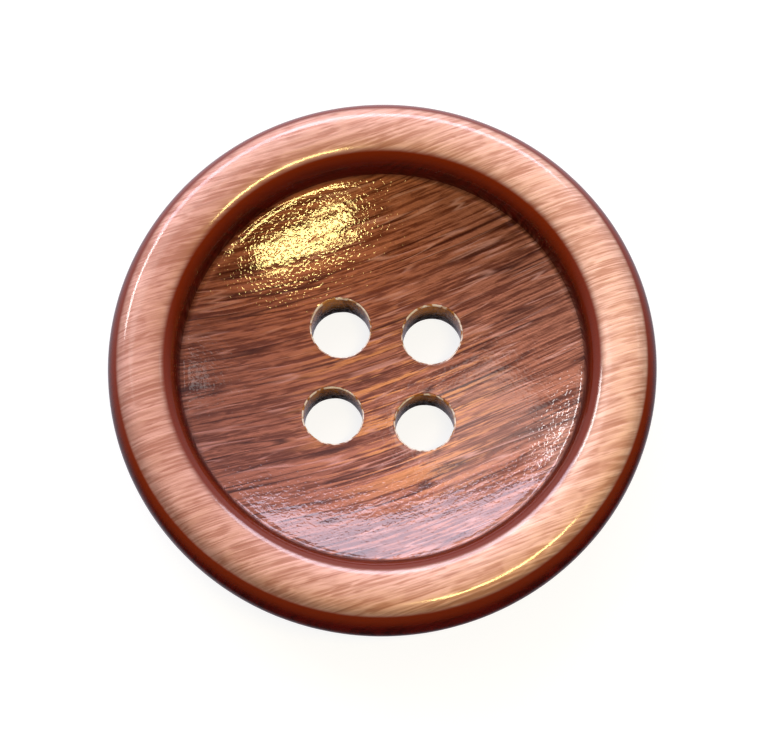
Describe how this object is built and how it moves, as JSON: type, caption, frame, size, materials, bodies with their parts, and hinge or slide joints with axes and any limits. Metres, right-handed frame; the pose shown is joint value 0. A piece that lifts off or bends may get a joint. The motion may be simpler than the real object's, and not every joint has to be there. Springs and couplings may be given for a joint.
{
  "type": "sew-on button",
  "caption": "Round sew-on button with a crowned, polished rim, a dished satin well and through holes for the thread.",
  "frame": {"origin": "centre of the flat back, where the button's axis meets the cloth", "axes": "+Z along the button's axis, out of the garment through the well; +X and +Y along the rows of the thread holes"},
  "size_m": [0.0204, 0.0204, 0.0042],
  "materials": {
    "pearl_polyester": "streaked copper-pink pearl, polished on the rim and the outer side, satin in the well"
  },
  "bodies": {
    "root": {"button": "pearl_polyester"}
  },
  "joints": []
}
